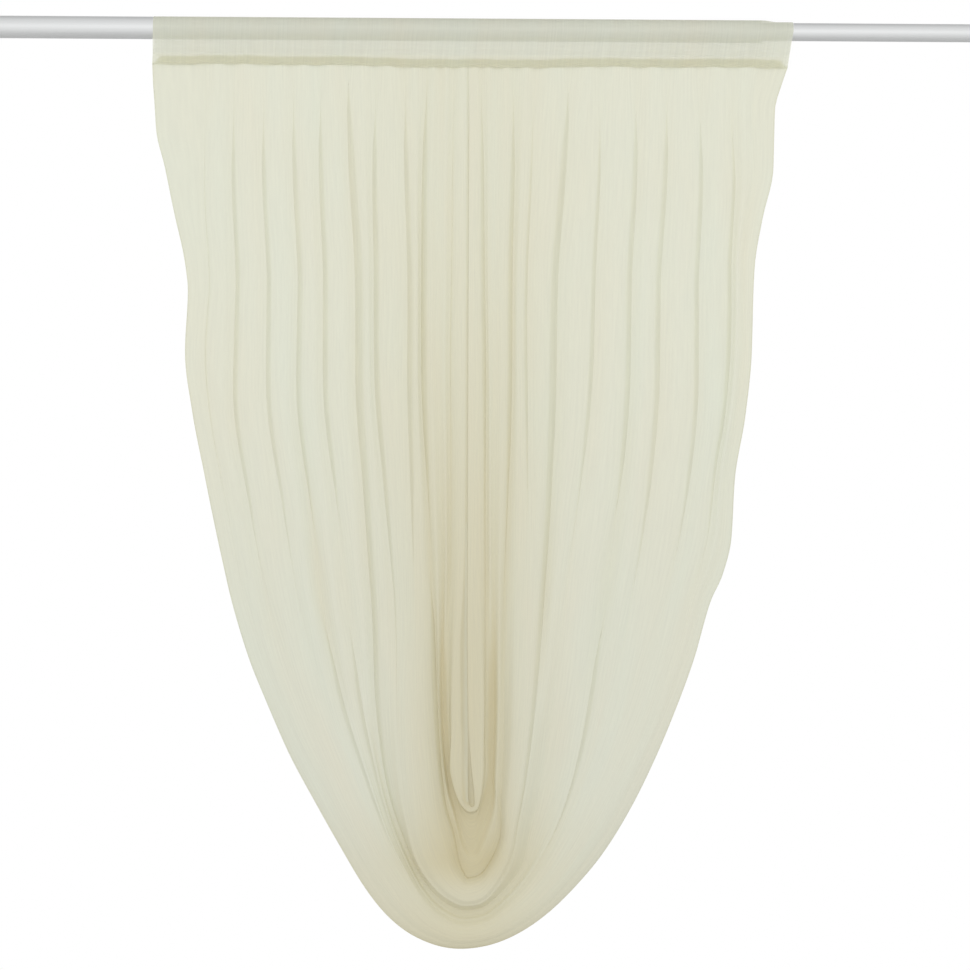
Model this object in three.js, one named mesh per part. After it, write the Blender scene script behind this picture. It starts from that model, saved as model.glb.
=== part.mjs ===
// A sheer swag valance on a telescopic pole, in millimetres, +Z up, with -Y towards the room.
// The origin is on the pole's axis, at the middle of the swag. The panel is one long cloth:
// its two pleated ends are sewn side by side into the rod pocket, and it falls between them in a deep U.

import * as THREE from "three";

// Pole
const THICK_TUBE_D = 35;
const THIN_TUBE_D = 28;
const SLIDING_GAP = 0.3;
const TUBE_WALL = 1.6;
const END_WALL = 2;
const POLE_LEFT_X = -759;
const STEP_X = 457;
const POLE_RIGHT_X = 806;
const TUBE_OVERLAP = 180;
const TUBE_SIDES = 48;

// Cloth
const CLOTH_T = 1.2;
const HEM_T = 2;
const SEAT_GAP = 0.3;

// Rod pocket: the cloth lies over the pole, and its two layers close on the panel at the seam
const POCKET_LEFT_X = -494;
const POCKET_RIGHT_X = 506;
const POCKET_DROP_X = 470;
const POCKET_SHARES = [0, 0.12, 0.25, 0.37, 0.44, 0.5, 0.56, 0.63, 0.75, 0.88, 0.955, 0.975, 1];
const SEAM_LEFT_X = -496;
const SEAM_RIGHT_X = 498;
const LEG_TOP_Z = -40;
const SEAM_Z = -56;
const SEAM_DIP = 3;
const SEAM_DIP_WIDTH = 150;
const LEG_Y = 3.3;
const ARC_STEPS = 10;
const ARC_END_DEG = 110;
const NECK_SHARE = 0.58;
const NECK_Z = -30;

// Panel
const ALLOWANCE = 13;
const OUTER_BOTTOM_Z = -1438;
const INNER_BOTTOM_Z = -1216;
const SEAM_DEPTH = 1.4;
const HIGH_DEPTH = 10;
const MID_DEPTH = 15;
const STEPS_PER_FOLD_SIDE = 3;
const STEPS_DOWN = 17;
const ROWS_NEAR_SEAM = [0.96, 0.977, 0.9905];

// The panel's outer edge, in mm: how far below the pole's axis, and how far from the middle.
//   drop, left, right
const OUTER_EDGE = [
  [56, -496, 498],
  [82, -495, 489],
  [120, -492, 479],
  [163, -489, 478],
  [215, -476, 477],
  [290, -460, 461],
  [366, -443, 449],
  [410, -438, 447],
  [505, -442, 445],
  [600, -430, 436],
  [700, -410, 420],
  [795, -390, 415],
  [852, -377, 401],
  [890, -368, 384],
  [985, -339, 357],
  [1060, -308, 330],
  [1136, -274, 299],
  [1211, -233, 263],
  [1286, -190, 218],
  [1343, -155, 171],
  [1380, -126, 133],
  [1409, -93, 93],
  [1429, -54, 50],
];

// The span that the folds share out, in mm from the middle. reach is 1 at the header and 0 at the foot
// of the U, and the height above the foot goes as its square.
//   reach, left outer, left inner, right inner, right outer
const SPANS = [
  [1, -496, -0.6, 0.8, 498],
  [0.93, -467, -0.5, 0.9, 473],
  [0.86, -439, -0.2, 1.2, 446],
  [0.79, -434, 0.2, 1.6, 440],
  [0.71, -401, 0.6, 2.2, 418],
  [0.62, -364, 1, 2.8, 381],
  [0.53, -315, 1.6, 3.6, 337],
  [0.42, -240, 3, 5.4, 274],
  [0.32, -182, 4.5, 7.5, 212],
  [0.22, -132, 5, 12, 148],
  [0.13, -79, 5.5, 16, 82],
  [0.06, -35, 8, 16.5, 40],
];
const INNER_BOTTOM_X = 12;
const OUTER_BOTTOM_X = -5;

// The outer edge strays from its span, and takes the outermost folds along from this share on.
const STRAY_SHARE = 0.82;

// The troughs between the pleats, from the inner edge outwards, after the lip of the innermost roll.
// left and right are the percent of the way from the inner edge to the outer one, at the reaches of
// LEVELS; foot is that percent at the foot of the U, and ridgeFoot the same for the ridge outside the
// trough. high, midLeft and midRight are how strong it is at those heights, and footBack and
// ridgeFootBack how far back the two lie at the foot, in mm. The lip and the last trough have no ridge.
const LEVELS = [1, 0.84, 0.62, 0.32, 0.22];
const TROUGHS = [
  {
    left: [2.5, 3, 3.5, 13.7, 19.4],
    right: [2, 2.5, 3.5, 10.6, 11.8],
    foot: 5, high: -0.7, midLeft: -0.7, midRight: -0.7, footBack: -26,
  },
  {
    left: [5, 6, 7.3, 14.9, 17.1],
    right: [3.8, 5.1, 7.1, 11.8, 15.3],
    foot: 26, high: 0.6, midLeft: 0.5, midRight: 0.7, footBack: 12, ridgeFoot: 37, ridgeFootBack: 14,
  },
  {
    left: [13.3, 15.7, 14.6, 19.5, 16],
    right: [14.2, 14.7, 16.2, 27.6, 32.4],
    foot: 49, high: 1, midLeft: 0.9, midRight: 0.9, footBack: 6, ridgeFoot: 54.5, ridgeFootBack: -26,
  },
  {
    left: [20.6, 20.6, 22.8, 36.1, 38.4],
    right: [20.8, 20.3, 25, 33.4, 37.6],
    foot: 58, high: 0.5, midLeft: -0.9, midRight: -0.9, footBack: -39, ridgeFoot: 62, ridgeFootBack: -36,
  },
  {
    left: [29.8, 32.7, 31.4, 51.5, 55.5],
    right: [31.9, 30.2, 31.3, 37.7, 43.5],
    foot: 66, high: 0.8, midLeft: 0.3, midRight: 1, footBack: -24, ridgeFoot: 69, ridgeFootBack: -12,
  },
  {
    left: [38.7, 38.8, 40.2, 57.5, 57.5],
    right: [42, 44, 41.4, 48.5, 55.3],
    foot: 72, high: 0.9, midLeft: 1, midRight: 0.5, footBack: 12, ridgeFoot: 76, ridgeFootBack: 9,
  },
  {
    left: [47.5, 50.9, 51.6, 62, 59.5],
    right: [53, 56.7, 57.4, 64.8, 62],
    foot: 80, high: 0.9, midLeft: 0.6, midRight: 1.1, footBack: -2, ridgeFoot: 82, ridgeFootBack: -11,
  },
  {
    left: [56.1, 60.1, 62.4, 66, 62],
    right: [62.8, 67, 68.3, 71, 69.4],
    foot: 84, high: 0.9, midLeft: 1.1, midRight: 0.6, footBack: -14, ridgeFoot: 86.5, ridgeFootBack: -20,
  },
  {
    left: [65.6, 71.2, 72.7, 75.1, 68.7],
    right: [72.9, 80.7, 82.6, 80.3, 78.8],
    foot: 89, high: 0.6, midLeft: 0.5, midRight: 0.5, footBack: -21, ridgeFoot: 91, ridgeFootBack: -23,
  },
  {
    left: [74.8, 82.6, 85.6, 85.1, 81],
    right: [83, 92, 92, 88.8, 87.1],
    foot: 93, high: 0.9, midLeft: 0.7, midRight: 0.4, footBack: -20, ridgeFoot: 95, ridgeFootBack: -18,
  },
  {
    left: [83.7, 93, 94.8, 93.4, 92.2],
    right: [91.2, 97, 96.5, 95, 94],
    foot: 97, high: 0.5, midLeft: 0.3, midRight: 0.2, footBack: -12,
  },
];
const INNER_EDGE_BACK = { high: -5, mid: -8, foot: -16 };
const OUTER_EDGE_BACK = { high: 0, mid: 0, foot: 0 };

// Reaches at which a fold's depth is given: seam, just below it, high, mid, then the foot's own depth
const DEPTH_REACHES = [1, 0.965, 0.84, 0.62, 0.42, 0];
const SHARE_BELOW_SEAM = 0.45;

// A monotone cubic through values at rising stations: it never passes its own highs and lows.
function smoothThrough(stations, values) {
  const last = stations.length - 1;
  const rises = [];
  for (let i = 0; i < last; i++) {
    rises.push((values[i + 1] - values[i]) / (stations[i + 1] - stations[i]));
  }
  const slopes = values.map((_, i) => {
    if (i === 0) return rises[0];
    if (i === last) return rises[last - 1];
    const before = rises[i - 1];
    const after = rises[i];
    return before * after <= 0 ? 0 : (2 * before * after) / (before + after);
  });
  return (at) => {
    let i = 0;
    while (i < last - 1 && at > stations[i + 1]) i++;
    const span = stations[i + 1] - stations[i];
    const s = THREE.MathUtils.clamp((at - stations[i]) / span, 0, 1);
    const s2 = s * s;
    const s3 = s2 * s;
    return (
      values[i] * (2 * s3 - 3 * s2 + 1) +
      values[i + 1] * (3 * s2 - 2 * s3) +
      slopes[i] * span * (s3 - 2 * s2 + s) +
      slopes[i + 1] * span * (s3 - s2)
    );
  };
}

// Tables are written from the header down, and the curves need rising stations.
function downTheCloth(reaches, values) {
  return smoothThrough([...reaches].reverse(), [...values].reverse());
}

// A closed sheet of a given thickness on both sides of a grid of points, grid[row][column].
function sheetOn(grid, thicknessAt) {
  const rows = grid.length;
  const columns = grid[0].length;
  const positions = [];
  const along = new THREE.Vector3();
  const across = new THREE.Vector3();
  const normal = new THREE.Vector3();
  for (const side of [1, -1]) {
    for (let r = 0; r < rows; r++) {
      for (let c = 0; c < columns; c++) {
        along.subVectors(grid[Math.min(r + 1, rows - 1)][c], grid[Math.max(r - 1, 0)][c]);
        across.subVectors(grid[r][Math.min(c + 1, columns - 1)], grid[r][Math.max(c - 1, 0)]);
        normal.crossVectors(across, along).normalize();
        const point = grid[r][c].clone().addScaledVector(normal, (side * thicknessAt(r, c)) / 2);
        positions.push(point.x, point.y, point.z);
      }
    }
  }
  const front = (r, c) => r * columns + c;
  const back = (r, c) => rows * columns + r * columns + c;
  const faces = [];
  const quad = (a, b, c, d) => faces.push(a, b, c, a, c, d);
  for (let r = 0; r < rows - 1; r++) {
    for (let c = 0; c < columns - 1; c++) {
      quad(front(r, c), front(r, c + 1), front(r + 1, c + 1), front(r + 1, c));
      quad(back(r, c), back(r + 1, c), back(r + 1, c + 1), back(r, c + 1));
    }
  }
  for (let r = 0; r < rows - 1; r++) {
    quad(front(r, 0), front(r + 1, 0), back(r + 1, 0), back(r, 0));
    quad(front(r + 1, columns - 1), front(r, columns - 1), back(r, columns - 1), back(r + 1, columns - 1));
  }
  for (let c = 0; c < columns - 1; c++) {
    quad(front(0, c + 1), front(0, c), back(0, c), back(0, c + 1));
    quad(front(rows - 1, c), front(rows - 1, c + 1), back(rows - 1, c + 1), back(rows - 1, c));
  }
  const geometry = new THREE.BufferGeometry();
  geometry.setAttribute("position", new THREE.Float32BufferAttribute(positions, 3));
  geometry.setIndex(faces);
  return geometry;
}

// The seam dips a little at the middle of the header.
function seamZ(x) {
  return SEAM_Z - SEAM_DIP * Math.exp(-((x / SEAM_DIP_WIDTH) ** 2));
}

// A curve of signed reach, negative on the left and positive on the right, through values at falling
// reaches on both sides and one at the foot.
function curveAround(reaches, left, right, foot) {
  const stations = [...reaches.map((reach) => -reach), 0, ...[...reaches].reverse()];
  return smoothThrough(stations, [...left, foot, ...[...right].reverse()]);
}

// The inner edge, the outer end of the folds' span, and the outer edge itself.
function edgeCurves() {
  const column = (table, i) => table.map((row) => row[i]);
  const reaches = column(SPANS, 0);
  const full = OUTER_BOTTOM_Z - SEAM_Z;
  const edgeReaches = OUTER_EDGE.map(([drop]) => Math.sqrt((OUTER_BOTTOM_Z + drop) / full));
  return {
    inner: curveAround(reaches, column(SPANS, 2), column(SPANS, 3), INNER_BOTTOM_X),
    outer: curveAround(reaches, column(SPANS, 1), column(SPANS, 4), OUTER_BOTTOM_X),
    edge: curveAround(edgeReaches, column(OUTER_EDGE, 1), column(OUTER_EDGE, 2), OUTER_BOTTOM_X),
  };
}

// One line of the cloth that runs from header to header: where it lies across, and how far back.
function makeLine(shareLeft, shareRight, foot, high, midLeft, midRight, footBack, seamBack) {
  const belowSeam = THREE.MathUtils.lerp(seamBack, high, SHARE_BELOW_SEAM);
  const depths = (mid) => [seamBack, belowSeam, high, mid, footBack, footBack];
  return {
    shareLeft: downTheCloth(LEVELS, shareLeft),
    shareRight: downTheCloth(LEVELS, shareRight),
    foot,
    backLeft: downTheCloth(DEPTH_REACHES, depths(midLeft)),
    backRight: downTheCloth(DEPTH_REACHES, depths(midRight)),
  };
}

function troughLine(trough) {
  return makeLine(
    trough.left.map((percent) => percent / 100),
    trough.right.map((percent) => percent / 100),
    trough.foot / 100,
    HIGH_DEPTH * trough.high,
    MID_DEPTH * trough.midLeft,
    MID_DEPTH * trough.midRight,
    trough.footBack,
    SEAM_DEPTH * Math.sign(trough.high),
  );
}

// A ridge lies halfway between two troughs and stands forward by the mean of their strengths.
function ridgeLine(trough, next) {
  const halfway = (side) => trough[side].map((percent, i) => (percent + next[side][i]) / 2 / 100);
  const forward = (height) => -(Math.abs(trough[height]) + Math.abs(next[height])) / 2;
  return makeLine(
    halfway("left"),
    halfway("right"),
    trough.ridgeFoot / 100,
    HIGH_DEPTH * forward("high"),
    MID_DEPTH * forward("midLeft"),
    MID_DEPTH * forward("midRight"),
    trough.ridgeFootBack,
    -SEAM_DEPTH,
  );
}

function edgeLine(share, back) {
  const shares = LEVELS.map(() => share);
  return makeLine(shares, shares, share, back.high, back.mid, back.mid, back.foot, 0);
}

function clothLines() {
  const lines = [edgeLine(0, INNER_EDGE_BACK)];
  TROUGHS.forEach((trough, i) => {
    lines.push(troughLine(trough));
    const next = TROUGHS[i + 1];
    if (i > 0 && next) lines.push(ridgeLine(trough, next));
  });
  lines.push(edgeLine(1, OUTER_EDGE_BACK));
  return lines;
}

// The point of a line at a signed reach.
function pointOn(line, reach, edges) {
  const level = Math.abs(reach);
  const onLeft = reach < 0;
  const share = (onLeft ? line.shareLeft : line.shareRight)(level);
  const outer = edges.outer(reach);
  const stray = (edges.edge(reach) - outer) * THREE.MathUtils.smoothstep(share, STRAY_SHARE, 1);
  const x = THREE.MathUtils.lerp(edges.inner(reach), outer, share) + stray;
  const y = (onLeft ? line.backLeft : line.backRight)(level);
  const footZ = THREE.MathUtils.lerp(INNER_BOTTOM_Z, OUTER_BOTTOM_Z, line.foot);
  const z = footZ + level ** 2 * (seamZ(x) - footZ);
  return new THREE.Vector3(x, y, z);
}

function reachesDown() {
  const half = [];
  for (let i = 1; i < STEPS_DOWN; i++) half.push(i / STEPS_DOWN);
  half.push(...ROWS_NEAR_SEAM, 1);
  return [...half.map((reach) => -reach).reverse(), 0, ...half];
}

// Each pair of neighbouring lines is joined by a smooth curve through all of them.
function clothRow(points) {
  const stations = points.map((_, i) => i);
  const curve = ["x", "y", "z"].map((axis) => smoothThrough(stations, points.map((p) => p[axis])));
  const row = [];
  const steps = (points.length - 1) * STEPS_PER_FOLD_SIDE;
  for (let i = 0; i <= steps; i++) {
    row.push(new THREE.Vector3(...curve.map((value) => value(i / STEPS_PER_FOLD_SIDE))));
  }
  return row;
}

function swagGeometry() {
  const edges = edgeCurves();
  const lines = clothLines();
  const grid = reachesDown().map((reach) => clothRow(lines.map((line) => pointOn(line, reach, edges))));
  const raised = (row) => row.map((p) => new THREE.Vector3(p.x, p.y, p.z + ALLOWANCE));
  const whole = [raised(grid[0]), ...grid, raised(grid.at(-1))];
  const lastColumn = whole[0].length - 1;
  const isHem = (c) => c === 0 || c === lastColumn;
  return sheetOn(whole, (r, c) => (isHem(c) ? HEM_T : CLOTH_T));
}

// The pocket's section: over the tube, down both sides, and in to the seam.
function pocketSection(tubeRadius, seamAt) {
  const radius = tubeRadius + SEAT_GAP + CLOTH_T / 2;
  const half = [];
  for (let i = 0; i <= ARC_STEPS; i++) {
    const angle = THREE.MathUtils.degToRad((ARC_END_DEG * i) / ARC_STEPS);
    half.push([radius * Math.sin(angle), radius * Math.cos(angle)]);
  }
  half.push([tubeRadius * NECK_SHARE, NECK_Z]);
  half.push([LEG_Y, LEG_TOP_Z]);
  half.push([LEG_Y, seamAt]);
  const frontHalf = half.slice(1).map(([y, z]) => [-y, z]).reverse();
  return [...frontHalf, ...half];
}

function pocketGeometry() {
  const grid = POCKET_SHARES.map((share) => {
    const topX = THREE.MathUtils.lerp(POCKET_LEFT_X, POCKET_RIGHT_X, share);
    const seamX = THREE.MathUtils.lerp(SEAM_LEFT_X, SEAM_RIGHT_X, share);
    const tubeD = topX < POCKET_DROP_X ? THICK_TUBE_D : THIN_TUBE_D;
    return pocketSection(tubeD / 2, seamZ(seamX)).map(([y, z]) => {
      const down = THREE.MathUtils.clamp(z / SEAM_Z, 0, 1);
      return new THREE.Vector3(THREE.MathUtils.lerp(topX, seamX, down), y, z);
    });
  });
  return sheetOn(grid, () => CLOTH_T);
}

// A tube along X with one closed end; its profile is radius against distance from the closed end.
function tubeGeometry(outerRadius, innerRadius, length) {
  const profile = [
    [0, 0],
    [outerRadius, 0],
    [outerRadius, length],
    [innerRadius, length],
    [innerRadius, END_WALL],
    [0, END_WALL],
  ].map(([radius, distance]) => new THREE.Vector2(radius, distance));
  return new THREE.LatheGeometry(profile, TUBE_SIDES);
}

function clothMaterial() {
  return new THREE.MeshStandardMaterial({
    color: 0xe0dfcd,
    roughness: 0.85,
    metalness: 0,
    side: THREE.DoubleSide,
  });
}

function poleMaterial() {
  return new THREE.MeshStandardMaterial({ color: 0xb9bcc0, roughness: 0.35, metalness: 1 });
}

function mesh(name, geometry, material) {
  const made = new THREE.Mesh(geometry, material);
  made.name = name;
  return made;
}

function pole() {
  const group = new THREE.Group();
  const thickRadius = THICK_TUBE_D / 2;
  const thinRadius = THIN_TUBE_D / 2;
  const thick = mesh(
    "pole_outer",
    tubeGeometry(thickRadius, thinRadius + SLIDING_GAP, STEP_X - POLE_LEFT_X),
    poleMaterial(),
  );
  thick.rotation.z = -Math.PI / 2;
  thick.position.x = POLE_LEFT_X;
  const thin = mesh(
    "pole_inner",
    tubeGeometry(thinRadius, thinRadius - TUBE_WALL, POLE_RIGHT_X - STEP_X + TUBE_OVERLAP),
    poleMaterial(),
  );
  thin.rotation.z = Math.PI / 2;
  thin.position.x = POLE_RIGHT_X;
  group.add(thick, thin);
  return group;
}

const valance = new THREE.Group();
valance.add(pole());
valance.add(mesh("header_casing", pocketGeometry(), clothMaterial()));
valance.add(mesh("swag_drape", swagGeometry(), clothMaterial()));

export default valance;
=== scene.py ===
import math
import random
from collections import namedtuple

import bpy
import numpy as np
from mathutils import Matrix, Vector


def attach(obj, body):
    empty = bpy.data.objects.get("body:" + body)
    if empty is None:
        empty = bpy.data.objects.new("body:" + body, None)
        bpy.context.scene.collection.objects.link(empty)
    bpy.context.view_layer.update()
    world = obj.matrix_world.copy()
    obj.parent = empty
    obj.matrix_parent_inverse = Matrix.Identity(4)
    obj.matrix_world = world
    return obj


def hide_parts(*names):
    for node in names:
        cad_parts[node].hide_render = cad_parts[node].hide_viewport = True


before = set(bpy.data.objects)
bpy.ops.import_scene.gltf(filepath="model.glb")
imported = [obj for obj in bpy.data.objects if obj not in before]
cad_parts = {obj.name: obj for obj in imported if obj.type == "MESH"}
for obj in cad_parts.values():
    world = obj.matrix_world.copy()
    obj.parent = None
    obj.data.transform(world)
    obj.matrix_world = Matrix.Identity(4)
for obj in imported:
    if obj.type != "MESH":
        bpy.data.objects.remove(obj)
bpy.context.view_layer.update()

# A sheer swag valance on a telescopic pole. Lengths are in millimetres unless a line says otherwise.
MM = 0.001

# The photograph's frame: its scale, the pixel of the part's origin, and the sine of its slight roll
MM_PER_PIXEL = 1.565
PICTURE_SIDE = 970
POLE_CENTRE_PIXEL = (469.5, 30.0)
ROLL = 0.0066
# in metres
CAMERA_DISTANCE = 6.0
CAMERA_REACH = 100
SENSOR = 36.0

# Cloth, laid out as in the part
SEAM_Z = -56
SEAM_DIP = 3
SEAM_DIP_WIDTH = 150
# height, length and start of each wave along the seam
SEAM_WAVES = [(0.6, 31, 1.2), (0.4, 11.3, 0.4), (0.3, 5.1, 2.2)]
ALLOWANCE = 13
OUTER_BOTTOM_Z = -1438
INNER_BOTTOM_Z = -1216
FOOT_DROP = INNER_BOTTOM_Z - OUTER_BOTTOM_Z
SEAM_DEPTH = 1.4
HIGH_DEPTH = 4.4
MID_DEPTH = 5.8
ACROSS_PER_LINE = 5
STEPS_DOWN = 180
SHARP_FOLD_DEG = 55

# The panel's outer edge: how far below the pole's axis, and how far from the middle
# drop, left, right
OUTER_EDGE = [
    (56, -496, 498),
    (82, -495, 489),
    (120, -492, 479),
    (163, -489, 478),
    (215, -476, 477),
    (290, -460, 461),
    (366, -443, 449),
    (410, -438, 447),
    (505, -442, 445),
    (600, -430, 436),
    (700, -410, 420),
    (795, -390, 415),
    (852, -377, 401),
    (890, -368, 384),
    (985, -339, 357),
    (1060, -308, 330),
    (1136, -274, 299),
    (1211, -233, 263),
    (1286, -190, 218),
    (1343, -155, 171),
    (1380, -126, 133),
    (1409, -93, 93),
    (1429, -54, 50),
]
# The span that the folds share out, by reach: 1 at the header and 0 at the foot of the U. The height
# above the foot goes as the square of the reach.
# reach, left outer, left inner, right inner, right outer
SPANS = [
    (1, -496, -0.6, 0.8, 498),
    (0.93, -467, -0.5, 0.9, 473),
    (0.86, -439, -0.2, 1.2, 446),
    (0.79, -434, 0.2, 1.6, 440),
    (0.71, -401, 0.6, 2.2, 418),
    (0.62, -364, 1, 2.8, 381),
    (0.53, -315, 1.6, 3.6, 337),
    (0.42, -240, 3, 5.4, 274),
    (0.32, -182, 4.5, 7.5, 212),
    (0.22, -132, 5, 12, 148),
    (0.13, -79, 5.5, 16, 82),
    (0.06, -35, 8, 16.5, 40),
]
# The outer edge strays from its span, and takes the outermost folds along from this share on
STRAY_SHARE = 0.82
INNER_BOTTOM_X = 12
OUTER_BOTTOM_X = -5
LEVELS = (1, 0.84, 0.62, 0.32, 0.22)

# The troughs between the pleats, from the inner edge outwards, after the lip of the innermost roll.
# left, right: percent of the way from the inner edge to the outer one, at the reaches of LEVELS
# foot: the same percent at the foot of the U
# strength: how deep it is high up, and halfway down on the left and on the right
# foot_back: how far back it lies at the foot
# laps_high, laps_low: width of its lap on the left and the right, positive where the pleat's inner side
#     lies in front and negative where its outer side does
# foot_lap: the same at the foot
# pinch: how far it draws in near the foot on the left and the right: 0 makes a U there, and 1 a V
# ridge: the ridge outside it at the foot, in percent across and distance back
Trough = namedtuple("Trough", "left right foot strength foot_back laps_high laps_low foot_lap pinch ridge")
NO_LAP = (0, 0)
NO_PINCH = (0, 0)
TROUGHS = [
    Trough(
        (2.5, 3, 3.5, 13.7, 19.4), (2, 2.5, 3.5, 10.6, 11.8), 3,
        (-0.7, -0.7, -0.7), -8.5, NO_LAP, NO_LAP, 0, NO_PINCH, None,
    ),
    Trough(
        (5, 6, 7.3, 14.9, 17.1), (3.8, 5.1, 7.1, 11.8, 15.3), 5,
        (0.6, 0.5, 0.5), 2.5, (4, 7), (1, 3), 0, NO_PINCH, (12, 5.5),
    ),
    Trough(
        (9, 10.5, 10.5, 17.5, 16.6), (8.5, 9, 11, 17.5, 22.5), 30,
        (0.1, 0.4, 0.3), 8.5, NO_LAP, NO_LAP, 0, (0.9, 0.9), (38, 1.5),
    ),
    Trough(
        (13.3, 15.7, 15.3, 20.4, 16.3), (14.2, 14.7, 15.6, 24, 29.5), 50,
        (0.9, 0.6, 0.7), 3, (10, 8), (-9, -1), -4, (0.5, -0.4), (54.5, -15),
    ),
    Trough(
        (20.6, 20.6, 22.8, 36.1, 38.4), (20.8, 20.3, 25, 33.4, 37.6), 60,
        (0.45, -0.7, -0.7), -20, (9, 6), NO_LAP, 0, NO_PINCH, (65, -21),
    ),
    Trough(
        (29.8, 32.7, 31.4, 51.5, 55.5), (31.9, 30.2, 31.3, 37.7, 43.5), 69,
        (0.7, 0.2, 0.8), -16, (9, 12), (3, 7), 0, NO_PINCH, (70.5, -8),
    ),
    Trough(
        (38.7, 38.8, 40.2, 57.5, 57.5), (42, 44, 41.4, 48.5, 55.3), 73,
        (0.75, 0.8, 0.3), 3, (14, 7), (8, 0), 0, NO_PINCH, (77, 3),
    ),
    Trough(
        (47.5, 50.9, 51.6, 62, 59.5), (53, 56.7, 57.4, 64.8, 62), 80,
        (0.8, 0.55, 1), -2, (9, 9), (-7, -8), 0, NO_PINCH, (82, -6),
    ),
    Trough(
        (56.1, 60.1, 62.4, 66, 62), (62.8, 67, 68.3, 71, 69.4), 84,
        (0.8, 1.1, 0.3), -9, (9, 9), (-8, 0), 0, NO_PINCH, (86.5, -11),
    ),
    Trough(
        (65.6, 71.2, 72.7, 75.1, 68.7), (72.9, 80.7, 82.6, 80.3, 78.8), 89,
        (0.6, 0.25, 0.3), -12, (8, 8), NO_LAP, 0, NO_PINCH, (91, -12),
    ),
    Trough(
        (74.8, 82.6, 85.6, 85.1, 81), (83, 92, 92, 88.8, 87.1), 93,
        (0.8, 0.5, 0.2), -11, (8, 7), NO_LAP, 0, NO_PINCH, (95, -9),
    ),
    Trough(
        (83.7, 93, 94.8, 93.4, 92.2), (91.2, 97, 96.5, 95, 94), 97,
        (0.6, 0.2, 0.2), -6, (5, 2), NO_LAP, 0, NO_PINCH, None,
    ),
]
# A line of the cloth from header to header: share across, share at the foot, depth and the painted shade of
# its lap
Line = namedtuple("Line", "share foot depth tint")
# How far back the two long edges lie high up, halfway down and at the foot
INNER_EDGE_BACK = (-3, -5, -9)
OUTER_EDGE_BACK = (0, 0, 0)
# Reaches at which a depth is given: the seam, just below it, high up, halfway down, then the foot's
DEPTH_REACHES = (1, 0.965, 0.84, 0.62, 0.42, 0)
SHARE_BELOW_SEAM = 0.65

# Where the troughs draw in to the foot of the U, and the two sides' pinches become one
PINCH_REACH = 0.28
PINCH_MEETS = 0.09

# Laps: the two sides of a pleat overlap at its trough, least at the seam and hardly at all low down
# reach, and how much of the high, the low and the foot's own width the lap has there
LAP_WIDTHS = [
    (1, 0.1, 0, 0),
    (0.975, 0.4, 0, 0),
    (0.93, 0.8, 0, 0),
    (0.8, 0.9, 0, 0),
    (0.66, 0.5, 0.3, 0),
    (0.5, 0, 1, 0),
    (0.3, 0, 0.5, 0.5),
    (0.12, 0, 0, 1),
    (0, 0, 0, 1),
]
FULL_LAP = 6
LAP_CLEARANCE = 1
TROUGH_SPREAD = 0.3
SPREAD_RISE = 0.2
LAP_FRONT = 0.14
LAP_BEHIND = 0.1
# lap width at which the painted lap shade is full
LAP_SHADE_WIDTH = 8

# Hems along the two long edges. The inner one is turned under on the left, and on the right it is
# tucked behind the left half's edge. The tucks' two values are widths high up and low down. The
# ranges that follow are of reach, and all but the turn's with a minus, so that they rise downwards.
TUCK_LEFT = (-3, -9)
TUCK_RIGHT = (-3, -13)
TUCK_OPENS = (-0.62, -0.45)
TUCK_PARTS = (-0.36, -0.14)
TUCK_TURN = (-0.06, 0.1)
TUCK_DEPTH = (1.2, 7)
TUCK_UNDER = 0.5
TUCK_SHARES = [(1, 1), (0.15, 0.6)]
TUCK_RISE = 6
SEAM_EASE = 0.05
HEM_WIDTH = 2
HEM_TURN = 0.3
HEM_BEHIND = 0.5
# The rows and columns of the panel's grid where the left half's inner hem shows lighter, and the share of
# the painted shade that it keeps there
HEM_ROWS = slice(70, 165)
HEM_COLUMNS = slice(10, 12)
HEM_SHADE_KEPT = 0.6

# Rod pocket
POCKET_LEFT_X = -494
POCKET_RIGHT_X = 506
SEAM_LEFT_X = -496
SEAM_RIGHT_X = 498
THICK_RADIUS = 17.5
THIN_RADIUS = 14
# clearance over the thick and the thin tube
SEAT = (0.5, 1.3)
LEG_Y = 3.3
SEAM_LEG_Y = 1.7
LEG_TOP_Z = -40
NECK_Z = -30
NECK_SHARE = 0.58
ARC_END_DEG = 104
ARC_POINTS = 15
# the thick tube's end, and where the pocket has settled on the thin one
STEP_X = 457
THIN_FROM_X = 483
POCKET_STEPS = 260
SECTION_STEPS = 90
POCKET_HEM = 12
LEG_INSIDE = 0.9
SEAM_ROLL = 2
# heights above the seam
LEG_POINTS = (4, 8, 12)
# Puckers in the pocket's legs: how many, how deep, how far they lean, how broad, and where they fade
PUCKER_SEED = 11
PUCKERS = 60
PUCKER_DEPTH = 0.9
PUCKER_LEAN = 0.6
PUCKER_BREADTH = (5, 16)
PUCKER_MIDDLE_Z = -40
PUCKERS_BEGIN = (18, 40)
PUCKERS_END = (46, 56)

# Painted shade, yellower and darker: in the middle, low down, at the foot, deep in the folds and on the
# laps, standing in for the shade where cloth lies over other cloth and in recesses
MIDDLE_SHADE_WIDTH = 165
MIDDLE_SHADE_NARROWS = 0.45
MIDDLE_SHADE_TOP = 100
MIDDLE_SHADE_FULL = 1150
MIDDLE_SHADE_HIGH = 0.25
MIDDLE_SHADE_ENDS = (1290, 1360)
MIDDLE_SHADE_LOST = 0.85
FOOT_SHADE_WIDTH = 260
FOOT_SHADE_TOP = 1150
MIDDLE_SHADE = 0.75
FOOT_SHADE = 0.55
DEEP_SHADE = 0.5
DEEP_SHADE_ASIDE = 0.3
DEEP_RANGE = (0, 10)
LAP_SHADE_YELLOW = 0.02
# The seam's band: a painted shade where the allowance lies between the pocket's legs, whose top edge is
# soft, and which is cut away towards the pocket's ends
BAND_SHADE = 0.17
BAND_EDGE = (-38, -42)
BAND_ENDS = (2, 14)
ALLOWANCE_AT_END = 1
POCKET_HEM_AT_END = 3

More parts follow.
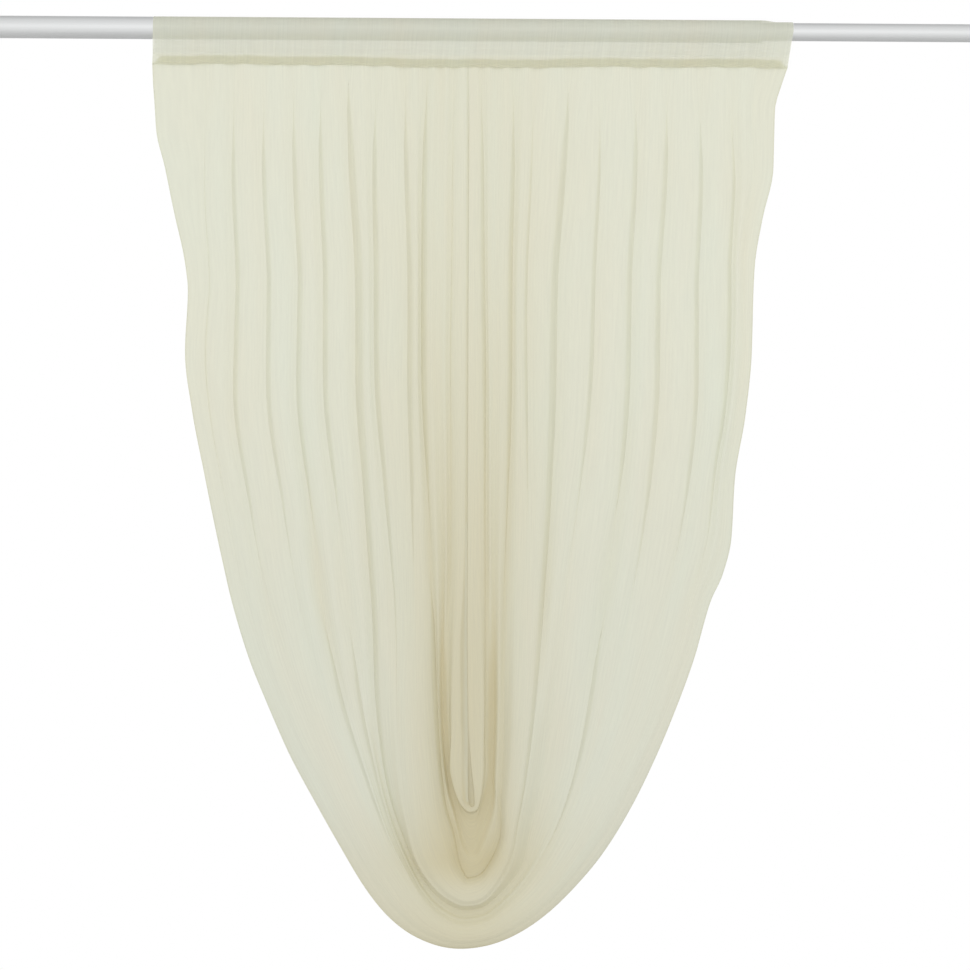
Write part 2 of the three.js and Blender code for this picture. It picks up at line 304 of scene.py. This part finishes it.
# Cloth's look: noises are stretched along the cloth, by how often they vary across and down a metre
CLOTH_COLOUR = (0.86, 0.9, 0.76)
WARM_COLOUR = (0.9, 0.87, 0.7)
STREAK_SCALE = (22, 3, 1)
SLUB_SCALE = (420, 14, 1)
SLUB_DETAIL = 3
SLUB_SHADE = 0.05
# colour of the painted shade where cloth lies over other cloth or in a recess
LAYER_SHADE_COLOUR = (0.75, 0.675, 0.43)
SHADE = 0.1
LAP_SHADE = 0.05
LOW_SHADE = 0.6
LOW_SHADE_RANGE = (350, 1150)
FOOT_LIT = 0.5
FOOT_LIT_RANGE = (1250, 1420)
CLOTH_ROUGHNESS = 0.85
CLOTH_GLOSS = 0.15
WEAVE_STRENGTH = 0.15
# in metres
WEAVE_HEIGHT = 0.0003
TRANSLUCENT_SHARE = 0.15
# share of its area that the threads cover
PANEL_COVER = 0.955
POCKET_COVER = 0.6
COVER_SPREAD = 0.03

# Pole's look
DRAWN_SCALE = (6, 900, 900)
METAL_ROUGHNESS = (0.42, 0.52)
METAL_DARK = (0.76, 0.77, 0.77)
METAL_LIGHT = (0.82, 0.83, 0.83)

# Light and floor, in metres. The surround's light changes from front to back over LIGHT_TURNS.
LIGHT_IN_FRONT = 0.87
LIGHT_BEHIND = 0.55
LIGHT_TURNS = (-0.5, 0.5)
KEY_PLACE = (0.2, -5.5, 0.6)
KEY_TARGET = (0, 0, -0.7)
KEY_SIZE = 4
KEY_POWER = 22
FLOOR_SIZE = 3
FLOOR_Z = -2.1


def smooth_through(stations, values, at):
    """A monotone cubic through values (first axis) at rising stations, read at the points of at."""
    stations = np.asarray(stations, float)
    values = np.asarray(values, float)
    at = np.atleast_1d(np.asarray(at, float))
    gaps = np.diff(stations).reshape((-1,) + (1,) * (values.ndim - 1))
    rises = np.diff(values, axis=0) / gaps
    before, after = rises[:-1], rises[1:]
    product = before * after
    total = before + after
    inner = np.where(product > 0, 2 * product / np.where(product > 0, total, 1), 0)
    slopes = np.concatenate([rises[:1], inner, rises[-1:]])
    i = np.clip(np.searchsorted(stations, at, side="right") - 1, 0, len(stations) - 2)
    shape = (-1,) + (1,) * (values.ndim - 1)
    span = (stations[i + 1] - stations[i]).reshape(shape)
    s = np.clip((at - stations[i]).reshape(shape) / span, 0, 1)
    s2, s3 = s * s, s * s * s
    return (
        values[i] * (2 * s3 - 3 * s2 + 1)
        + values[i + 1] * (3 * s2 - 2 * s3)
        + slopes[i] * span * (s3 - 2 * s2 + s)
        + slopes[i + 1] * span * (s3 - s2)
    )


def down_the_cloth(reaches, values, at):
    return smooth_through(reaches[::-1], values[::-1], at)


def seam_z(x):
    """The seam dips at the middle, and wavers slightly where the pleats are caught in it."""
    waver = sum(high * np.sin(x / long + start) for high, long, start in SEAM_WAVES)
    return SEAM_Z - SEAM_DIP * np.exp(-((x / SEAM_DIP_WIDTH) ** 2)) + waver


def edge_curve(reaches, left, right, bottom, at):
    stations = np.concatenate([-reaches, [0], reaches[::-1]])
    return smooth_through(stations, np.concatenate([left, [bottom], right[::-1]]), at)


def span_curves(reach):
    """The inner edge, the outer end of the folds' span, and how far the outer edge strays from it."""
    drop, edge_left, edge_right = np.array(OUTER_EDGE, float).T
    edge_reach = np.sqrt((OUTER_BOTTOM_Z + drop) / (OUTER_BOTTOM_Z - SEAM_Z))
    reaches, outer_left, inner_left, inner_right, outer_right = np.array(SPANS, float).T
    inner = edge_curve(reaches, inner_left, inner_right, INNER_BOTTOM_X, reach)
    outer = edge_curve(reaches, outer_left, outer_right, OUTER_BOTTOM_X, reach)
    edge = edge_curve(edge_reach, edge_left, edge_right, OUTER_BOTTOM_X, reach)
    return inner, outer, edge - outer


def lap_width(level, high, low, foot):
    """Signed width of the lap at a pleat: narrow at the seam and widest in the upper half."""
    reaches = [row[0] for row in LAP_WIDTHS]
    widths = [of_high * high + of_low * low + of_foot * foot for _, of_high, of_low, of_foot in LAP_WIDTHS]
    return down_the_cloth(reaches, widths, level)


def trough_line(trough, reach):
    """A trough's own line along its whole length, and the width of its lap."""
    high, *halfway = trough.strength
    level = np.abs(reach)
    on_left = reach < 0
    seam = SEAM_DEPTH * (1 if high > 0 else -1)
    near = HIGH_DEPTH * high
    below = seam + SHARE_BELOW_SEAM * (near - seam)
    meet = (trough.left[-1] + trough.right[-1]) / 2
    lost = 1 - np.clip(level / PINCH_REACH, 0, 1)
    own = smooth_step(level, 0, PINCH_MEETS)
    both = (1 - own) * sum(trough.pinch) / 2
    share = [
        (1 - lost * (own * pinch + both)) * down_the_cloth((*LEVELS, 0), (*shares, meet), level)
        for pinch, shares in zip(trough.pinch, (trough.left, trough.right))
    ]
    foot = trough.foot_back
    depth = [
        down_the_cloth(DEPTH_REACHES, (seam, below, near, MID_DEPTH * mid, foot, foot), level)
        for mid in halfway
    ]
    lap = [
        lap_width(level, laps_high, laps_low, trough.foot_lap)
        for laps_high, laps_low in zip(trough.laps_high, trough.laps_low)
    ]
    share, depth, lap = (np.where(on_left, *sides) for sides in (share, depth, lap))
    return Line(share / 100, trough.foot / 100, depth, np.zeros_like(reach)), lap


def ridge_line(trough, after, reach, one, two):
    """The ridge between two troughs: halfway across, as far forward as they are back."""
    level = np.abs(reach)
    high, *halfway = [-(abs(a) + abs(b)) / 2 for a, b in zip(trough.strength, after.strength)]
    foot, back = trough.ridge
    near = HIGH_DEPTH * high
    below = -SEAM_DEPTH + SHARE_BELOW_SEAM * (near + SEAM_DEPTH)
    depth = [
        down_the_cloth(DEPTH_REACHES, (-SEAM_DEPTH, below, near, MID_DEPTH * mid, back, back), level)
        for mid in halfway
    ]
    share = (one.share + two.share) / 2
    return Line(share, foot / 100, np.where(reach < 0, *depth), np.zeros_like(reach))


def edge_line(share, back, reach):
    high, mid, foot = back
    depths = (0, SHARE_BELOW_SEAM * high, high, mid, foot, foot)
    depth = down_the_cloth(DEPTH_REACHES, depths, np.abs(reach))
    return Line(np.full_like(reach, share), share, depth, np.zeros_like(reach))


def cloth_lines(reach, inner, outer):
    """Every line of the cloth, from the inner edge to the outer one."""
    lip, _ = trough_line(TROUGHS[0], reach)
    troughs = [trough_line(trough, reach) for trough in TROUGHS[1:]]
    ridges = [
        ridge_line(TROUGHS[i + 1], TROUGHS[i + 2], reach, troughs[i][0], troughs[i + 1][0])
        for i in range(len(troughs) - 1)
    ]
    last = edge_line(1, OUTER_EDGE_BACK, reach)
    width = np.hypot(outer - inner, FOOT_DROP * (1 - reach**2))
    lines = [edge_line(0, INNER_EDGE_BACK, reach)]
    neighbours = [lip] + ridges + [last]
    for i, (trough, lap) in enumerate(troughs):
        before, after = neighbours[i : i + 2]
        lines.append(before)
        lines += lapped_trough(trough, lap, before, after, width, TROUGHS[i + 1].foot_lap)
    lines.append(last)
    return lines


def lap_offsets(lap, clear, spread_in, spread_out):
    """Offsets across the cloth of a trough's three lines: smooth without a lap, folded over with one."""
    lapped = np.clip(np.abs(lap) / FULL_LAP, 0, 1)
    turned = (1 - lapped) * spread_in, (1 - lapped) * spread_out
    inner_line = np.where(lap > 0, lap / 2, lap / 2 - clear)
    outer_line = np.where(lap > 0, lap / 2 + clear, lap / 2)
    return lapped * inner_line - turned[0], -lapped * lap / 2, lapped * outer_line + turned[1], lapped


def spread_of(middle, before, after, width):
    """How far a trough spreads towards the lines on its two sides, where it has no lap."""
    return TROUGH_SPREAD * (middle - before) * width, TROUGH_SPREAD * (after - middle) * width


def lapped_trough(trough, lap, before, after, width, foot_lap):
    """The three lines of a trough: the fold's own, and one on each side that may lie over it."""
    share, foot, depth, _ = trough
    spread = spread_of(share, before.share, after.share, width)
    *moves, lapped = lap_offsets(lap, LAP_CLEARANCE, *spread)
    foot_spread = spread_of(foot, before.foot, after.foot, FOOT_DROP)
    *foot_moves, _ = lap_offsets(foot_lap, LAP_CLEARANCE, *foot_spread)
    sloping = SPREAD_RISE * (1 - lapped)
    inner_in_front = lap > 0
    rises = (
        sloping * (before.depth - depth) - lapped * np.where(inner_in_front, LAP_FRONT, LAP_BEHIND),
        0,
        sloping * (after.depth - depth) - lapped * np.where(inner_in_front, LAP_BEHIND, LAP_FRONT),
    )
    # Painted shade on the lap's front layer, full at its fold edge and gone where the cloth comes out from
    # under it
    lap_shade = np.clip(np.abs(lap) / LAP_SHADE_WIDTH, 0, 1)
    lap_shades = (lap_shade * inner_in_front, lap_shade, lap_shade * (lap < 0))
    return [
        Line(share + move / width, foot + foot_move / FOOT_DROP, depth + rise, own_lap_shade)
        for move, foot_move, rise, own_lap_shade in zip(moves, foot_moves, rises, lap_shades)
    ]


def swag_grid():
    """The panel's middle surface in millimetres and the painted shade of its laps, grid[down the
    cloth][across].
    """
    reach = np.linspace(-1, 1, 2 * STEPS_DOWN + 1)
    inner, outer, stray = span_curves(reach)
    along = []
    for share, foot, depth, lap_shade in cloth_lines(reach, inner, outer):
        x = inner + share * (outer - inner) + stray * smooth_step(share, STRAY_SHARE, 1)
        foot_z = INNER_BOTTOM_Z - foot * FOOT_DROP
        z = foot_z + reach**2 * (seam_z(x) - foot_z)
        along.append(np.stack([x, depth, z, lap_shade], axis=-1))
    along[:0] = [tucked_edge(along[0], reach, *shares) for shares in TUCK_SHARES]
    along.append(turned_hem(along[-1], reach))
    along = np.stack(along)
    across = np.linspace(0, len(along) - 1, (len(along) - 1) * ACROSS_PER_LINE + 1)
    grid = smooth_through(np.arange(len(along)), along, across).transpose(1, 0, 2)
    grid = np.concatenate([[allowance(grid[0])], grid, [allowance(grid[-1])]])
    return grid[..., :3], grid[..., 3]


def allowance(row):
    """The panel's pleated end run up inside the pocket, cut away at the outer corner."""
    from_corner = np.abs(row[:, 0] - row[-1, 0])
    raised = row.copy()
    raised[:, 2] += ALLOWANCE_AT_END + (ALLOWANCE - ALLOWANCE_AT_END) * smooth_step(from_corner, *BAND_ENDS)
    return raised


def tucked_edge(edge, reach, share_across, share_back):
    """A line of the inner hem: turned under on the left, tucked behind the left half's edge on the right."""
    low = smooth_step(-np.abs(reach), *TUCK_OPENS)
    left = TUCK_LEFT[0] + (TUCK_LEFT[1] - TUCK_LEFT[0]) * low
    right = TUCK_RIGHT[0] + (TUCK_RIGHT[1] - TUCK_RIGHT[0]) * low
    tuck = left + (right - left) * smooth_step(reach, *TUCK_TURN)
    apart = smooth_step(-np.abs(reach), *TUCK_PARTS)
    eased = np.clip((1 - np.abs(reach)) / SEAM_EASE, 0, 1)
    deep = (TUCK_DEPTH[0] + (TUCK_DEPTH[1] - TUCK_DEPTH[0]) * apart) * eased
    deep *= TUCK_UNDER + (1 - TUCK_UNDER) * smooth_step(reach, *TUCK_TURN)
    lift = -TUCK_RISE * (1 - smooth_step(np.abs(reach), 0, TUCK_TURN[1]))
    moved = (share_across * tuck, share_back * deep, -share_across * lift, np.zeros_like(reach))
    return edge + np.stack(moved, axis=-1)


def turned_hem(edge, reach):
    """The outer hem, turned back behind the cloth."""
    sideways = -np.sign(reach) * smooth_step(np.abs(reach), 0, HEM_TURN)
    across = HEM_WIDTH * sideways
    upward = HEM_WIDTH * (1 - np.abs(sideways))
    return edge + np.stack([across, np.full_like(reach, HEM_BEHIND), upward, np.zeros_like(reach)], axis=-1)


def smooth_step(value, low, high):
    s = np.clip((value - low) / (high - low), 0, 1)
    return s * s * (3 - 2 * s)


def grid_piece(name, grid, shade_of_layers, shades, material):
    """An open sheet over a grid of points in millimetres, with UVs in metres along the cloth."""
    rows, columns, _ = grid.shape
    points = grid.reshape(-1, 3) * MM
    index = np.arange(rows * columns).reshape(rows, columns)
    corners = (index[:-1, :-1], index[:-1, 1:], index[1:, 1:], index[1:, :-1])
    quads = np.stack(corners, axis=-1).reshape(-1, 4)
    mesh = bpy.data.meshes.new(name)
    mesh.from_pydata(points.tolist(), [], quads.tolist())
    steps_across = np.linalg.norm(np.diff(grid, axis=1), axis=2)
    steps_down = np.linalg.norm(np.diff(grid, axis=0), axis=2)
    u = np.concatenate([[0], np.cumsum(steps_across.mean(axis=0))])
    v = np.concatenate([[0], np.cumsum(steps_down.mean(axis=1))])
    uv = np.stack(np.meshgrid(u, v), axis=-1).reshape(-1, 2) * MM
    layer = mesh.uv_layers.new(name="cloth")
    layer.data.foreach_set("uv", uv[quads.reshape(-1)].astype(np.float32).ravel())
    mesh.polygons.foreach_set("use_smooth", [True] * len(mesh.polygons))
    mesh.update()
    mesh.set_sharp_from_angle(angle=math.radians(SHARP_FOLD_DEG))
    # The painted shades are stored on the points, for the material to read
    for key, values in (("layer_shade", shade_of_layers), ("shaded", shades)):
        attribute = mesh.attributes.new(key, "FLOAT", "POINT")
        attribute.data.foreach_set("value", np.clip(values, 0, 1).reshape(-1).astype(np.float32))
    piece = bpy.data.objects.new(name, mesh)
    bpy.context.scene.collection.objects.link(piece)
    piece.data.materials.append(material)
    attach(piece, "root")
    return piece


def pocket_section(tube, clearance, seam, hem):
    """The pocket's section from the front leg's turned-up edge over the tube to the back leg's."""
    radius = tube + clearance
    half = [(LEG_Y - LEG_INSIDE, seam + hem), (SEAM_LEG_Y, seam + SEAM_ROLL), (SEAM_LEG_Y, seam)]
    half += [(LEG_Y, seam + above) for above in LEG_POINTS]
    half += [(LEG_Y, LEG_TOP_Z), (tube * NECK_SHARE, NECK_Z)]
    angles = np.radians(np.linspace(-ARC_END_DEG, ARC_END_DEG, ARC_POINTS))
    arc = [(radius * math.sin(angle), radius * math.cos(angle)) for angle in angles]
    return [(-y, z) for y, z in half] + arc + half[::-1]


def pocket_grid():
    """The rod pocket over the pole, its front and back legs sewn to the panel with turned-up edges."""
    rows = []
    for share in np.linspace(0, 1, POCKET_STEPS):
        top_x = POCKET_LEFT_X + share * (POCKET_RIGHT_X - POCKET_LEFT_X)
        seam_x = SEAM_LEFT_X + share * (SEAM_RIGHT_X - SEAM_LEFT_X)
        thin = smooth_step(top_x, STEP_X, THIN_FROM_X)
        tube = THICK_RADIUS + thin * (THIN_RADIUS - THICK_RADIUS)
        clearance = SEAT[0] + thin * (SEAT[1] - SEAT[0])
        full = smooth_step(min(seam_x - SEAM_LEFT_X, SEAM_RIGHT_X - seam_x), *BAND_ENDS)
        hem = POCKET_HEM_AT_END + (POCKET_HEM - POCKET_HEM_AT_END) * full
        section = pocket_section(tube, clearance, seam_z(seam_x), hem)
        down = [min(max(z / SEAM_Z, 0), 1) for _, z in section]
        rows.append([(top_x + (seam_x - top_x) * d, y, z) for d, (y, z) in zip(down, section)])
    points = np.array(rows).transpose(1, 0, 2)
    at = np.linspace(0, len(points) - 1, SECTION_STEPS)
    return pocket_wrinkles(smooth_through(np.arange(len(points)), points, at))


def pocket_wrinkles(grid):
    """Slight puckers in the pocket's legs, running up from the seam."""
    rng = random.Random(PUCKER_SEED)
    x, y, z = grid[..., 0], grid[..., 1], grid[..., 2]
    on_leg = smooth_step(-z, *PUCKERS_BEGIN) * (1 - smooth_step(-z, *PUCKERS_END))
    push = np.zeros_like(x)
    for _ in range(PUCKERS):
        middle = rng.uniform(SEAM_LEFT_X, SEAM_RIGHT_X)
        lean = rng.uniform(-PUCKER_LEAN, PUCKER_LEAN)
        broad = rng.uniform(*PUCKER_BREADTH)
        away = (x - middle - lean * (z - PUCKER_MIDDLE_Z)) / broad
        push += rng.uniform(-1, 1) * PUCKER_DEPTH * np.exp(-(away**2))
    grid[..., 1] += np.sign(y) * on_leg * push
    return grid


def painted_layer_shade(grid):
    """Painted shade, yellower and darker: in the middle, low down, at the foot and deep in a fold, where
    cloth lies over other cloth or in a recess.
    """
    x, y, z = grid[..., 0], grid[..., 1], grid[..., 2]
    low = smooth_step(-z, MIDDLE_SHADE_TOP, MIDDLE_SHADE_FULL)
    width = MIDDLE_SHADE_WIDTH * (1 - MIDDLE_SHADE_NARROWS * low)
    middle = np.exp(-((x / width) ** 2)) * (MIDDLE_SHADE_HIGH + low * (1 - MIDDLE_SHADE_HIGH))
    middle *= 1 - MIDDLE_SHADE_LOST * smooth_step(-z, *MIDDLE_SHADE_ENDS)
    foot = np.exp(-((x / FOOT_SHADE_WIDTH) ** 2)) * smooth_step(-z, FOOT_SHADE_TOP, -OUTER_BOTTOM_Z)
    deep = smooth_step(y, *DEEP_RANGE) * (DEEP_SHADE_ASIDE + middle)
    return MIDDLE_SHADE * middle + FOOT_SHADE * foot + DEEP_SHADE * deep


def shade_over(grid, lap_layer_shade):
    """A slight shade, on the laps and down the cloth to the lit foot."""
    z = grid[..., 2]
    lit = 1 - FOOT_LIT * smooth_step(-z, *FOOT_LIT_RANGE)
    return LAP_SHADE * lap_layer_shade + LOW_SHADE * smooth_step(-z, *LOW_SHADE_RANGE) * lit


def make_camera():
    half = PICTURE_SIDE / 2
    dx = half - POLE_CENTRE_PIXEL[0]
    dy = half - POLE_CENTRE_PIXEL[1]
    x = (dx + ROLL * dy) * MM_PER_PIXEL * MM
    z = -(dy - ROLL * dx) * MM_PER_PIXEL * MM
    data = bpy.data.cameras.new("camera")
    camera = bpy.data.objects.new("camera", data)
    bpy.context.scene.collection.objects.link(camera)
    data.sensor_width = SENSOR
    data.lens = SENSOR * CAMERA_DISTANCE / (PICTURE_SIDE * MM_PER_PIXEL * MM)
    data.clip_end = CAMERA_REACH
    turn = Matrix.Rotation(math.radians(90), 4, "X") @ Matrix.Rotation(math.asin(ROLL), 4, "Z")
    camera.matrix_world = Matrix.Translation((x, -CAMERA_DISTANCE, z)) @ turn
    bpy.context.scene.camera = camera


def node(tree, kind, **settings):
    made = tree.nodes.new(kind)
    for key, value in settings.items():
        setattr(made, key, value)
    return made


def feed(tree, socket, value):
    """Sets a socket to a number or colour, or links it to another node's output."""
    if isinstance(value, bpy.types.NodeSocket):
        tree.links.new(value, socket)
    elif isinstance(value, tuple):
        socket.default_value = (*value, 1)
    else:
        socket.default_value = value


def drawn_noise(tree, coordinates, scale, detail=2):
    """Noise stretched along the piece's own coordinates."""
    place = node(tree, "ShaderNodeTexCoord")
    stretch = node(tree, "ShaderNodeMapping")
    stretch.inputs["Scale"].default_value = scale
    tree.links.new(place.outputs[coordinates], stretch.inputs["Vector"])
    noise = node(tree, "ShaderNodeTexNoise")
    noise.inputs["Scale"].default_value = 1
    noise.inputs["Detail"].default_value = detail
    tree.links.new(stretch.outputs[0], noise.inputs["Vector"])
    return noise.outputs["Fac"]


def ranged(tree, source, low, high):
    """A share between 0 and 1 as a value between low and high."""
    spread = node(tree, "ShaderNodeMapRange")
    spread.inputs["To Min"].default_value = low
    spread.inputs["To Max"].default_value = high
    tree.links.new(source, spread.inputs["Value"])
    return spread.outputs[0]


def mixed_colours(tree, share, one, other, blend="MIX"):
    mix = node(tree, "ShaderNodeMix", data_type="RGBA", blend_type=blend)
    for socket, value in zip((mix.inputs[0], mix.inputs[6], mix.inputs[7]), (share, one, other)):
        feed(tree, socket, value)
    return mix.outputs[2]


def mixed_shaders(tree, share, one, other):
    mix = node(tree, "ShaderNodeMixShader")
    for socket, value in zip(mix.inputs, (share, one, other)):
        feed(tree, socket, value)
    return mix.outputs[0]


def empty_material(name):
    material = bpy.data.materials.new(name)
    material.use_nodes = True
    return material, material.node_tree


def voile_colour(tree, slubs):
    """Cream with warmer streaks, a painted yellower shade where cloth lies over other cloth or in a recess,
    and darker on slubs and where shaded.
    """
    layer_shade = node(tree, "ShaderNodeAttribute", attribute_name="layer_shade").outputs["Fac"]
    shaded = node(tree, "ShaderNodeAttribute", attribute_name="shaded").outputs["Fac"]
    streaks = drawn_noise(tree, "UV", STREAK_SCALE)
    warm = mixed_colours(tree, streaks, CLOTH_COLOUR, WARM_COLOUR)
    base = mixed_colours(tree, layer_shade, warm, LAYER_SHADE_COLOUR)
    shades = node(tree, "ShaderNodeMath", operation="MULTIPLY")
    tree.links.new(ranged(tree, slubs, 1 - SLUB_SHADE, 1 + SLUB_SHADE), shades.inputs[0])
    tree.links.new(ranged(tree, shaded, 1, 1 - SHADE), shades.inputs[1])
    return mixed_colours(tree, 1, base, shades.outputs[0], "MULTIPLY")


def voile_threads(tree, colour, slubs):
    """The threads alone: rough, and letting a little light through."""
    cloth = node(tree, "ShaderNodeBsdfPrincipled")
    cloth.inputs["Roughness"].default_value = CLOTH_ROUGHNESS
    cloth.inputs["Specular IOR Level"].default_value = CLOTH_GLOSS
    tree.links.new(colour, cloth.inputs["Base Color"])
    weave = node(tree, "ShaderNodeBump")
    weave.inputs["Strength"].default_value = WEAVE_STRENGTH
    weave.inputs["Distance"].default_value = WEAVE_HEIGHT
    tree.links.new(slubs, weave.inputs["Height"])
    tree.links.new(weave.outputs[0], cloth.inputs["Normal"])
    through = node(tree, "ShaderNodeBsdfTranslucent")
    tree.links.new(colour, through.inputs["Color"])
    return mixed_shaders(tree, TRANSLUCENT_SHARE, cloth.outputs[0], through.outputs[0])


def voile_material(name, covered):
    """Sheer plain weave: threads over a share of its area, clear between, with faint slubs."""
    material, tree = empty_material(name)
    tree.nodes.clear()
    output = node(tree, "ShaderNodeOutputMaterial")
    slubs = drawn_noise(tree, "UV", SLUB_SCALE, SLUB_DETAIL)
    threads = voile_threads(tree, voile_colour(tree, slubs), slubs)
    clear = node(tree, "ShaderNodeBsdfTransparent").outputs[0]
    cover = ranged(tree, slubs, covered - COVER_SPREAD, covered + COVER_SPREAD)
    tree.links.new(mixed_shaders(tree, cover, clear, threads), output.inputs["Surface"])
    return material


def pole_material():
    """Satin aluminium, faintly drawn along its length."""
    material, tree = empty_material("satin_aluminium")
    metal = tree.nodes["Principled BSDF"]
    metal.inputs["Metallic"].default_value = 1.0
    drawn = drawn_noise(tree, "Object", DRAWN_SCALE)
    tree.links.new(ranged(tree, drawn, *METAL_ROUGHNESS), metal.inputs["Roughness"])
    tree.links.new(mixed_colours(tree, drawn, METAL_DARK, METAL_LIGHT), metal.inputs["Base Color"])
    return material


def make_light(name, place, target, size, energy):
    data = bpy.data.lights.new(name, "AREA")
    data.shape = "SQUARE"
    data.size = size
    data.energy = energy
    light = bpy.data.objects.new(name, data)
    bpy.context.scene.collection.objects.link(light)
    light.location = place
    light.rotation_euler = (Vector(target) - Vector(place)).to_track_quat("-Z", "Y").to_euler()


def make_surroundings():
    """White to the camera, and a dimmer white light all round, weaker from behind."""
    world = bpy.data.worlds.new("studio")
    bpy.context.scene.world = world
    world.use_nodes = True
    tree = world.node_tree
    background = tree.nodes["Background"]
    background.inputs["Color"].default_value = (1, 1, 1, 1)
    place = node(tree, "ShaderNodeTexCoord")
    axes = node(tree, "ShaderNodeSeparateXYZ")
    tree.links.new(place.outputs["Generated"], axes.inputs[0])
    around = node(tree, "ShaderNodeMapRange", interpolation_type="SMOOTHSTEP")
    limits = (*LIGHT_TURNS, LIGHT_IN_FRONT, LIGHT_BEHIND)
    for key, value in zip(("From Min", "From Max", "To Min", "To Max"), limits):
        around.inputs[key].default_value = value
    tree.links.new(axes.outputs["Y"], around.inputs["Value"])
    path = node(tree, "ShaderNodeLightPath")
    strength = node(tree, "ShaderNodeMix", data_type="FLOAT")
    strength.inputs["B"].default_value = 1
    tree.links.new(path.outputs["Is Camera Ray"], strength.inputs["Factor"])
    tree.links.new(around.outputs[0], strength.inputs["A"])
    tree.links.new(strength.outputs[0], background.inputs["Strength"])


def make_floor():
    bpy.ops.mesh.primitive_plane_add(size=FLOOR_SIZE, location=(0, 0, FLOOR_Z))
    floor = bpy.context.active_object
    floor.name = "floor"


def make_studio():
    """A white surround, one large soft light in front, and a floor well below."""
    make_surroundings()
    bpy.context.scene.view_settings.view_transform = "Standard"
    make_light("key", KEY_PLACE, KEY_TARGET, KEY_SIZE, KEY_POWER)
    make_floor()


def make_panel():
    grid, lap_layer_shade = swag_grid()
    # Painted shade: yellower in the middle, at the foot, deep in the folds and on the laps
    shade_of_layers = painted_layer_shade(grid) + LAP_SHADE_YELLOW * lap_layer_shade
    shade_of_layers[HEM_ROWS, HEM_COLUMNS] *= HEM_SHADE_KEPT
    voile = voile_material("voile_gathered", PANEL_COVER)
    panel = grid_piece("swag_panel", grid, shade_of_layers, shade_over(grid, lap_layer_shade), voile)
    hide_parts("swag_drape")


def make_pocket():
    grid = pocket_grid()
    # Painted shade on the seam's band, where the allowance lies between the pocket's legs
    in_band = smooth_step(-grid[..., 2], -BAND_EDGE[0], -BAND_EDGE[1])
    from_ends = np.minimum(grid[..., 0] - SEAM_LEFT_X, SEAM_RIGHT_X - grid[..., 0])
    shade_of_layers = BAND_SHADE * in_band * smooth_step(from_ends, *BAND_ENDS)
    voile = voile_material("voile_flat", POCKET_COVER)
    pocket = grid_piece("rod_pocket", grid, shade_of_layers, 0 * in_band, voile)
    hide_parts("header_casing")


def finish_pole():
    satin = pole_material()
    for name in ("pole_outer", "pole_inner"):
        for holder in bpy.data.objects[name].material_slots:
            holder.material = satin


make_camera()
make_studio()
make_panel()
make_pocket()
finish_pole()
